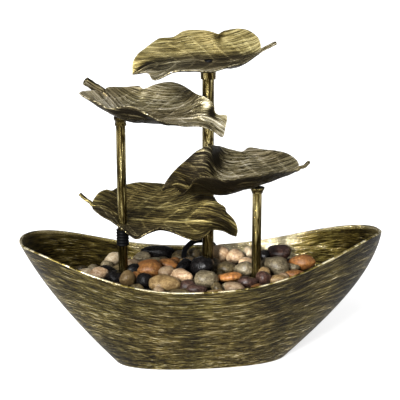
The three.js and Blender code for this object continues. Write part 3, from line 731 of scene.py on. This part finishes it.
def face_normals(points):
    along = np.gradient(points, axis=0)
    across = np.gradient(points, axis=1)
    normal = np.cross(along, across)
    size = np.linalg.norm(normal, axis=-1, keepdims=True)
    normal = np.where(size > 1e-12, normal / np.maximum(size, 1e-12), [0, 0, 1])
    return normal * np.sign(normal[..., 2:3] + 1e-9)


def spot(u, w, at_u, at_w, long, wide):
    """1 in the middle of a soft round spot on a leaf, fading to 0 around it."""
    return np.exp(-((u - at_u) / long) ** 2 - ((w - at_w) / wide) ** 2)


# A painted highlight and a painted shade where leaf 2 curls up beside the centre pole: u, w and
# size.
CURL_PAINTED_HIGHLIGHT = (0.81, 0.76, 0.020, 0.22)
CURL_PAINTED_SHADE = (0.865, 0.60, 0.022, 0.24)

# How far the gold is rubbed through over each leaf, from its u and w, with painted light and shade
# on leaves 2 and 4.
GILDING_AND_PAINTED_LIGHT = {
    "leaf_1": lambda u, w: (
        -0.06 + 0.38 * smoothstep(0.0, 0.5, w) + 0.20 * smoothstep(-0.3, -0.7, w)
        - 0.42 * spot(u, w, 0.90, 0.15, 0.12, 0.5) - 0.50 * spot(u, w, 0.37, 0.93, 0.045, 0.13)),
    # Leaf 2's curl gets a painted highlight and a painted shade.
    "leaf_2": lambda u, w: (
        0.30 - 0.22 * u + 0.24 * smoothstep(0.88, 0.97, u)
        + 0.90 * spot(u, w, *CURL_PAINTED_HIGHLIGHT) - 1.30 * spot(u, w, *CURL_PAINTED_SHADE)),
    "leaf_3": lambda u, w: (
        0.14 - 0.40 * smoothstep(0.50, 0.76, u) + 0.08 * spot(u, w, 0.5, 0.1, 0.15, 0.6)
        + 0.08 * spot(u, w, 0.73, 0.82, 0.05, 0.20) - 0.60 * spot(u, w, 0.62, 0.86, 0.05, 0.16)),
    # Leaf 4 darkens towards its tip: painted shadow of the leaves above.
    "leaf_4": lambda u, w: (
        -0.06 + 0.10 * smoothstep(0.2, 0.5, w) - 0.06 * smoothstep(-0.3, -0.8, w)
        - 0.22 * smoothstep(0.65, 0.90, u)),
}
# How far the gold has gone grey, 0 to 1.
SILVERING = {
    "leaf_1": lambda u, w: 0.90 * smoothstep(0.45, -0.10, w) + 0.05,
    "leaf_2": lambda u, w: 0.95 - 0.3 * smoothstep(0.2, 0.9, w),
    "leaf_3": lambda u, w: (
        0.90 - 0.65 * smoothstep(0.55, 0.75, u) + 0.75 * spot(u, w, 0.72, 0.85, 0.08, 0.35)),
    "leaf_4": lambda u, w: 0.75 * smoothstep(0.0, -0.6, w) * smoothstep(0.75, 0.45, u) + 0.1,
}
# Each stalk's radius and bore, in millimetres.
STALKS = {"leaf_1": (1.8, 0.0), "leaf_2": (3.8, 2.9), "leaf_3": (1.8, 0.0), "leaf_4": (1.8, 0.0)}
STALK_SIDES = 20


def stalk_mesh(spec, radius, bore):
    """A stalk that grows out of the midrib. Returns vertices and faces in metres."""
    start = (Vector(spec["mid"][0]) + Vector(spec["base"])) / 2
    line = curve_through([start, spec["base"], *spec["stalk"]], 24)
    tangents = np.gradient(line, axis=0)
    vertices = []

    def ring(centre, tangent, size):
        turn = Vector(tangent).to_track_quat("Z", "Y")
        for k in range(STALK_SIDES):
            a = 2 * math.pi * k / STALK_SIDES
            knob = size * (1 + 0.05 * math.sin(3 * a + centre[0]))
            place = Vector(centre) + turn @ Vector((knob * math.cos(a), knob * math.sin(a), 0))
            vertices.append(tuple(place))

    for i, (centre, tangent) in enumerate(zip(line, tangents)):
        t = i / (len(line) - 1)
        ring(centre, tangent, radius * (0.35 + 0.65 * float(smoothstep(0.0, 0.4, t)) + 0.08 * t))
    end, direction = line[-1], tangents[-1] / np.linalg.norm(tangents[-1])
    if bore:
        for depth, size in ((0.4, radius - 0.3), (0.2, bore), (-5.0, bore), (-5.2, 0.2)):
            ring(end + direction * depth, direction, size)
    else:
        for depth, size in ((0.5, 0.92 * radius), (0.9, 0.6 * radius), (1.0, 0.1 * radius)):
            ring(end + direction * depth, direction, size)
    return np.array(vertices) * MM, capped_faces(len(vertices) // STALK_SIDES, STALK_SIDES)


def apply_modifiers(obj):
    depsgraph = bpy.context.evaluated_depsgraph_get()
    mesh = bpy.data.meshes.new_from_object(obj.evaluated_get(depsgraph))
    obj.modifiers.clear()
    obj.data = mesh


def pierce(obj, x, y, radius, low, high):
    """Cuts a round hole straight down through the object."""
    sides = 40
    angles = np.linspace(0, 2 * math.pi, sides, endpoint=False)
    rings = [(x + radius * math.cos(a), y + radius * math.sin(a), z)
             for z in (low - 0.01, high + 0.01) for a in angles]
    cutter = new_object("cutter", rings, capped_faces(2, sides), smooth=False)
    modifier = obj.modifiers.new("hole", "BOOLEAN")
    modifier.object = cutter
    modifier.solver = "EXACT"
    apply_modifiers(obj)
    bpy.data.objects.remove(cutter)


def make_leaf(index, name, spec):
    points, u, w = leaf_surface(spec, LEAF_ROWS, LEAF_COLUMNS)
    length = np.linalg.norm(np.diff(points[:, LEAF_COLUMNS // 2], axis=0), axis=1).sum()
    half_width = np.linalg.norm(points[:, 0] - points[:, -1], axis=1)[:, None] / 2 + 1e-4
    normal = face_normals(points)
    normal[0] = normal[1]
    normal[-1] = normal[-2]
    ends = np.minimum(smoothstep(0.0, 0.06, u), smoothstep(1.0, 0.95, u))
    veins = vein_height(u, w, length)
    rim = np.exp(-(1 - np.abs(w)) * half_width / 0.0007)
    bumps = 0.0006 * ripple(points, 0.012, index + 1) + 0.0014 * ripple(points, 0.030, index + 5)
    lift = (0.0005 * veins + bumps) * ends
    points = points + normal * lift[..., None]

    top = points.reshape(-1, 3)
    thin = LEAF_THICKNESS * (1 - 0.45 * rim)
    low = (points - normal * thin[..., None]).reshape(-1, 3)
    count = len(top)
    faces = grid_faces(LEAF_ROWS, LEAF_COLUMNS)
    faces += grid_faces(LEAF_ROWS, LEAF_COLUMNS, offset=count, flip=True)
    last = LEAF_COLUMNS - 1
    for i in range(LEAF_ROWS - 1):
        a, b = i * LEAF_COLUMNS, (i + 1) * LEAF_COLUMNS
        faces.append([a, b, b + count, a + count])
        faces.append([b + last, a + last, a + last + count, b + last + count])
    leaf = new_object(f"{name}_sheet", np.vstack([top, low]), faces, LEAF_BRONZE)
    set_uv(leaf, np.tile(np.stack([(u * length).ravel(), (w * half_width).ravel()], 1), (2, 1)))
    gilt_and_painted_light, silver = GILDING_AND_PAINTED_LIGHT[name](u, w), SILVERING[name](u, w)
    # The rim brightens the leaf's edge: edge wear, with a painted highlight along it.
    for mask, above, below in (("vein", veins, 0 * veins), ("wear_and_painted_light", rim, rim),
                               ("gilt_and_painted_light", gilt_and_painted_light, gilt_and_painted_light * 0.3 - 0.30), ("silver", silver, silver)):
        set_mask(leaf, mask, np.concatenate([above.ravel(), below.ravel()]))
    weld = leaf.modifiers.new("weld", "WELD")
    weld.merge_threshold = 1e-6
    apply_modifiers(leaf)
    if name in LEAF_HOLES:
        (x, y), radius = LEAF_HOLES[name]
        pierce(leaf, x, y, radius, float(points[..., 2].min()), float(points[..., 2].max()))
    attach(leaf, LEAF_BODY[name])
    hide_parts(f"{name}_blade")

    vertices, faces = stalk_mesh(spec, *STALKS[name])
    stalk = new_object(f"{name}_stem", vertices, faces, LEAF_BRONZE, sharp_degrees=50)
    set_mask(stalk, "gilt_and_painted_light", np.full(len(vertices), 0.26))
    set_mask(stalk, "silver", np.full(len(vertices), SILVERING[name](0.0, 0.0)))
    along, around = np.divmod(np.arange(len(vertices)), STALK_SIDES)
    set_uv(stalk, np.stack([along * 0.001, around * 0.0006], 1))
    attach(stalk, LEAF_BODY[name])
    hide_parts(f"{name}_stalk")


for index, (name, spec) in enumerate(LEAVES.items()):
    make_leaf(index, name, spec)


# ---- poles, collars and sleeve ----

def fitting(name, node, body, centre, profile, material, corner=0.3):
    """A turned piece from a closed profile of (radius, height) in millimetres."""
    piece = lathe(name, [(r * MM, z * MM) for r, z in rounded(profile, corner)], centre, material)
    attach(piece, body)
    if node:
        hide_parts(node)


def tube(name, node, centre, outer, bore):
    low, high = (corner[2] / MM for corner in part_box(node))
    fitting(name, node, ROOT, centre, [(bore, low), (outer, low), (outer, high), (bore, high)],
            POLE_BRASS, corner=0.4)


tube("centre_tube", "centre_pole", POLE_CENTRE, 5.75, 4.25)
tube("left_tube", "left_pole", POLE_LEFT, 4.6, 3.2)
tube("right_tube", "right_pole", POLE_RIGHT, 4.6, 3.2)
fitting("top_collar", "leaf_1_collar", "top_leaf", POLE_CENTRE,
        [(6.0, 277), (7.2, 277), (7.4, 279), (7.4, 283.5), (8.0, 284.5), (8.0, 287.6), (7.2, 289.2),
         (3.9, 289.5), (3.9, 288.9), (6.0, 288.9)],
        POLE_BRASS)
# A short black tube in the top leaf's hole, seen in the photograph only as the hole's darkness.
fitting("water_outlet", None, "top_leaf", POLE_CENTRE,
        [(3.85, 289.0), (3.85, 294.6), (3.15, 294.9), (3.15, 289.0)], PUMP_PLASTIC)
fitting("upper_left_collar", "leaf_2_collar", "upper_left_leaf", POLE_LEFT,
        [(4.85, 235), (5.6, 235), (5.7, 236.5), (5.3, 237.2), (5.3, 239), (6.6, 241.4),
         (6.6, 243.2), (5.8, 244), (4.85, 244)],
        POLE_BRASS)
fitting("right_collar", "leaf_3_collar", "right_leaf", POLE_RIGHT,
        [(4.85, 170), (5.4, 170), (5.6, 171.5), (7.1, 174.2), (7.2, 175.5), (4.85, 175.5)],
        POLE_BRASS)
SLEEVE_RIBS = [(6.4 - 0.8 * (k % 2), 116.6 + 1.48 * k) for k in range(11)]
fitting("rubber_stop", "left_pole_sleeve", ROOT, POLE_LEFT,
        [(4.85, 116), (5.8, 116), *SLEEVE_RIBS, (5.8, 132), (4.85, 132)], RUBBER)


# ---- pebbles ----

# The stones on top of the heap: x, y, z of the middle, then length, width, height and turn.
TOP_STONES = {
    "cream": [(-85, 54, 88, 18, 14, 12, 10), (-114, 13, 86, 16, 12, 10, 5),
              (55, 49, 91, 10, 10, 15, 0)],
    "pink": [(-101, 8, 87, 18, 14, 12, -10), (-35, -8, 92, 15, 13, 12, 20),
             (-22, -13, 90, 27, 14, 12, -42), (24, 44, 92, 21, 17, 16, 10),
             (40, 38, 91, 17, 15, 14, 0), (27, -48, 87, 19, 15, 11, -12),
             (48, 24, 88, 13, 12, 12, 0)],
    "tan": [(-73, -13, 89, 15, 14, 15, 60), (-38, -28, 87, 30, 22, 16, 10),
            (61, -14, 88, 11, 13, 15, 0), (73, -27, 87, 17, 13, 9, 15),
            (-10, 30, 88, 17, 13, 11, 20), (8, -56, 85, 18, 12, 8, -5)],
    "orange": [(-51, 13, 89, 27, 23, 17, -10), (25, -20, 89, 23, 15, 9, -8),
               (104, 14, 90, 28, 17, 13, -24), (93, -10, 86, 20, 13, 8, -10),
               (-30, 27, 89, 19, 14, 10, -5)],
    "grey": [(-55, 53, 88, 18, 14, 10, 0), (1, -28, 90, 23, 20, 17, 0), (43, -2, 91, 18, 16, 15, 0),
             (75, 4, 91, 27, 21, 18, -22), (91, 6, 88, 17, 9, 8, -30),
             (-48, 36, 88, 22, 13, 9, -10)],
    "olive": [(26, 10, 88, 18, 15, 12, 0), (16, 16, 86, 14, 13, 10, 30),
              (-25, -46, 84, 22, 13, 8, -15), (16, 26, 87, 15, 13, 12, 0)],
    "black": [(-95, 14, 87, 22, 19, 13, 20), (-66, 14, 88, 18, 16, 13, 0),
              (-57, -19, 88, 15, 15, 15, 30), (-17, 5, 91, 19, 13, 18, 60),
              (1, 2, 94, 23, 19, 20, -25), (-84, -2, 86, 19, 17, 13, 10),
              (71, 44, 89, 11, 11, 12, 0), (-37, 66, 89, 38, 16, 13, -3)],
    "maroon": [(87, 46, 91, 26, 18, 14, -8), (41, -34, 88, 17, 16, 12, -5),
               (58, -26, 88, 17, 15, 15, 40), (-10, -46, 86, 20, 15, 11, 0),
               (-47, 67, 87, 20, 14, 12, 10)],
}
# The CAD pebbles that each colour stands for.
STONE_NODES = {
    "cream": (1, 6), "black": (2, 7), "tan": (3, 5), "orange": (4, 14), "grey": (8, 10, 12),
    "pink": (9, 11), "maroon": (13, 16), "olive": (15,),
}
FILL_COLOURS = ["black", "black", "olive", "olive", "grey", "tan", "maroon", "orange", "pink"]
# The middles of the top stones: at HEAP_TOP out to LEVEL_STRETCH from HEAP_MIDDLE, then lower.
HEAP_TOP = 88.0
HEAP_MIDDLE = -4.0
LEVEL_STRETCH = 104.0
END_SLOPE = 0.42
# The drop below the top stones and the spacing of each layer of thrown stones.
FILL_LAYERS = ((3.0, 12.5), (10.0, 13.0))
FILL_LOWEST = 58
FILL_INSET = 0.0095
THROWS = 2600
# Where thrown stones stay away from a pole or from the rising cord: x, y and the clear radius.
KEPT_CLEAR = [(x / MM, y / MM, 5) for x, y in (POLE_CENTRE, POLE_LEFT, POLE_RIGHT)]
KEPT_CLEAR.append((-11, 30, 3))
BED_BOTTOM = 0.0062
BED_TOP = 0.070
BED_WALL_ROWS = 12


def heap_fall(x):
    """How far the heap has fallen away towards the bowl's ends, in millimetres."""
    return END_SLOPE * np.maximum(0.0, np.abs(x - HEAP_MIDDLE) - LEVEL_STRETCH)


def is_inside(x, y, outline):
    ahead = np.roll(outline, -1, axis=0)
    crosses = (outline[:, 1] > y) != (ahead[:, 1] > y)
    span = np.where(crosses, ahead[:, 1] - outline[:, 1], 1.0)
    cut = outline[:, 0] + (y - outline[:, 1]) / span * (ahead[:, 0] - outline[:, 0])
    return bool((crosses & (x < cut)).sum() % 2)


def unit_ball(level):
    mesh = bmesh.new()
    bmesh.ops.create_icosphere(mesh, subdivisions=level, radius=1.0)
    points = np.array([tuple(v.co) for v in mesh.verts])
    faces = np.array([[v.index for v in f.verts] for f in mesh.faces])
    mesh.free()
    return points, faces


def pebble_points(ball, stone, rng):
    """A worn stone: a lumpy ball, a little boxy, stretched to its size and tipped slightly."""
    x, y, z, length, width, height, degrees = stone
    seed = Vector((rng.uniform(0, 50), rng.uniform(0, 50), rng.uniform(0, 50)))
    boxy = rng.uniform(0.80, 0.98)
    shape = np.sign(ball) * np.abs(ball) ** boxy
    shape /= np.linalg.norm(shape, axis=1, keepdims=True) ** 0.75
    lumps = np.array([1 + 0.26 * noise.noise(Vector(p) * 0.9 + seed)
                      + 0.09 * noise.noise(Vector(p) * 2.0 + seed) for p in ball])
    shape = shape * lumps[:, None] * np.array([length, width, height]) * 0.53
    tip = Matrix.Rotation(math.radians(degrees), 3, "Z")
    tip = tip @ Matrix.Rotation(rng.uniform(-0.25, 0.25), 3, "X")
    tip = tip @ Matrix.Rotation(rng.uniform(-0.25, 0.25), 3, "Y")
    return (shape @ np.array(tip).T + [x, y, z]) * MM


def filler_stones(rng, taken):
    """Stones under and between the top ones, thrown in at random and kept apart."""
    stones = []
    angles = np.linspace(0, 2 * math.pi, 120, endpoint=False)
    outlines = {level: wall_inset_at(angles, level * MM, FILL_INSET)[:, :2] / MM
                for level in range(50, 92, 2)}
    for index, (drop, spacing) in enumerate(FILL_LAYERS):
        layer = []
        for _ in range(THROWS):
            x, y = rng.uniform(-150, 150), rng.uniform(-70, 70)
            z = HEAP_TOP - heap_fall(x) - drop + rng.uniform(-2, 1)
            size = rng.uniform(12, 19)
            if z < FILL_LOWEST or not is_inside(x, y, outlines[2 * int((z - 3) / 2)]):
                continue
            if any(math.hypot(x - a, y - b) < gap + size / 2 for a, b, gap in KEPT_CLEAR):
                continue
            if any(math.hypot(x - a, y - b) < spacing for a, b in layer):
                continue
            among_top = taken if index == 0 else ()
            if any(math.hypot(x - a, y - b) < 0.42 * (size + c) for a, b, c in among_top):
                continue
            layer.append((x, y))
            stones.append((x, y, z, size, size * rng.uniform(0.7, 0.95),
                           size * rng.uniform(0.55, 0.8), rng.uniform(0, 180)))
    return stones


def bed_mesh():
    """The dark mass of stones below: a lumpy closed skin from the floor to just under the heap."""
    count = 96
    angles = np.linspace(0, 2 * math.pi, count, endpoint=False)
    inset = BOWL_WALL + 0.0012
    top = np.full(count, BED_TOP)
    for _ in range(12):
        top = BED_TOP - MM * heap_fall(wall_inset_at(angles, top, inset)[:, 0] / MM)
    rows = [wall_inset_at(angles, BED_BOTTOM + (top - BED_BOTTOM) * t, inset)
            for t in np.linspace(0, 1, BED_WALL_ROWS)]
    edge = rows[-1]
    for shrink in np.linspace(1.0, 0.05, 22)[1:]:
        x, y = edge[:, 0] * shrink, edge[:, 1] * shrink
        rows.append(np.stack([x, y, BED_TOP - MM * heap_fall(x / MM)], axis=-1))
    points = np.array(rows)
    points[BED_WALL_ROWS:, :, 2] += 0.0025 * ripple(points[BED_WALL_ROWS:], 0.009, 3)
    return points.reshape(-1, 3), capped_faces(len(rows), count)


def make_pebbles():
    rng = random.Random(41)
    groups = {colour: [(stone, 3) for stone in stones] for colour, stones in TOP_STONES.items()}
    taken = [(s[0], s[1], (s[3] + s[4]) / 2) for stones in TOP_STONES.values() for s in stones]
    for stone in filler_stones(rng, taken):
        groups[rng.choice(FILL_COLOURS)].append((stone, 2))
    balls = {level: unit_ball(level) for level in (2, 3)}
    for colour, stones in groups.items():
        vertices, faces, tones, total = [], [], [], 0
        for stone, level in stones:
            ball, ball_faces = balls[level]
            points = pebble_points(ball, stone, rng)
            vertices.append(points)
            faces += (ball_faces + total).tolist()
            tones += [rng.random()] * len(points)
            total += len(points)
        if colour == "olive":
            points, bed_faces = bed_mesh()
            vertices.append(points)
            faces += [[k + total for k in face] for face in bed_faces]
            # The bed takes the darkest tone: painted shade in the gaps between the stones above it.
            tones += [0.0] * len(points)
        group = new_object(f"pebbles_{colour}", np.vstack(vertices), faces, STONES[colour])
        set_mask(group, "tone", tones)
        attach(group, ROOT)
        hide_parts(*[f"pebble_{k}" for k in STONE_NODES[colour]])
        if colour == "olive":
            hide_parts("pebble_bed")


make_pebbles()


# ---- parts that keep their CAD shape ----

def repaint(material, *names):
    for name in names:
        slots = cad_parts[name].data.materials
        slots.clear()
        slots.append(material)


repaint(FOOT_RUBBER, *[f"foot_pad_{k}" for k in range(1, 5)])
repaint(PUMP_PLASTIC, "pump_housing", "pump_intake_cover", "pump_impeller", "pump_flow_dial",
        "pump_outlet_nozzle", "left_pole_socket", "right_pole_socket", "cord_tie")
repaint(RUBBER, "riser_hose", "pump_cord_gland", *[f"suction_cup_{k}" for k in range(1, 5)],
        "plug_body", "plug_strain_relief")
repaint(SHAFT_STEEL, "pump_shaft")
repaint(MAGNET, "pump_rotor")
repaint(PIN_BRASS, "plug_blade_1", "plug_blade_2")


# ---- stage and light ----

def make_stage():
    size = 30.0
    vertices = [(-size, -size, 0), (size, -size, 0), (size, size, 0), (-size, size, 0)]
    n = Nodes("pale_floor")
    seen = n.add("LightPath").outputs["Is Camera Ray"]
    material = n.finish(
        base_color=(0.62, 0.62, 0.62), roughness=0.9, specular_ior_level=0.0,
        emission_color=(1.0, 1.0, 1.0), emission_strength=n.between(seen, 0.0, 1.0, 0.12, 0.72))
    floor = new_object("floor", vertices, [(0, 1, 2, 3)], material)


def lamp(kind, name, power, place, target=(0, 0, 0), **settings):
    """A lamp at place that shines towards target; a sun's place only gives its direction."""
    data = bpy.data.lights.new(name, kind)
    data.energy = power
    for key, value in settings.items():
        setattr(data, key, value)
    light = bpy.data.objects.new(name, data)
    light.location = place
    light.rotation_euler = (Vector(target) - Vector(place)).to_track_quat("-Z", "Y").to_euler()
    scene.collection.objects.link(light)


WORLD_DARK = 0.04
WORLD_BRIGHT = 0.60
WORLD_BRIGHT_WAY = (-0.25, -0.50, 0.83)


def make_world():
    """White to the camera; to the metal it is bright in front and above, and dark behind."""
    n = Nodes("studio", bpy.data.worlds)
    scene.world = n.owner
    way = n.add("TexCoord").outputs["Generated"]
    facing = n.add("VectorMath", {0: way, 1: WORLD_BRIGHT_WAY}, operation="DOT_PRODUCT")
    soft = n.between(facing.outputs["Value"], -0.25, 0.95, WORLD_DARK, WORLD_BRIGHT)
    seen = n.add("LightPath").outputs["Is Camera Ray"]
    background = n.tree.nodes["Background"]
    n.feed(background.inputs["Strength"], n.add("Mix", {0: seen, 2: soft, 3: 1.0}).outputs[0])
    n.feed(background.inputs["Color"], (1.0, 1.0, 1.0, 1.0))


make_stage()
make_world()
OBJECT_MIDDLE = (0, 0, 0.15)
BACK_WALL = (0.066, 0.075, 0.093)
lamp("SUN", "key", 2.9, (-0.56, -0.52, 0.66), angle=math.radians(35))
lamp("SUN", "low_key", 2.9, (-0.42, -0.83, 0.38), angle=math.radians(9))
lamp("AREA", "right_strip", 1.0, (0.9, -0.5, 0.35), OBJECT_MIDDLE,
     shape="RECTANGLE", size=0.25, size_y=0.8)
lamp("SPOT", "back_wall_glint", 46.0, (-0.225, -0.550, 0.215), BACK_WALL,
     spot_size=math.radians(9.5), spot_blend=1.0, shadow_soft_size=0.03)
lamp("AREA", "front_strip", 5.0, (-0.42, -0.95, 0.42), OBJECT_MIDDLE,
     shape="RECTANGLE", size=0.10, size_y=0.7)
scene.view_settings.view_transform = "Standard"
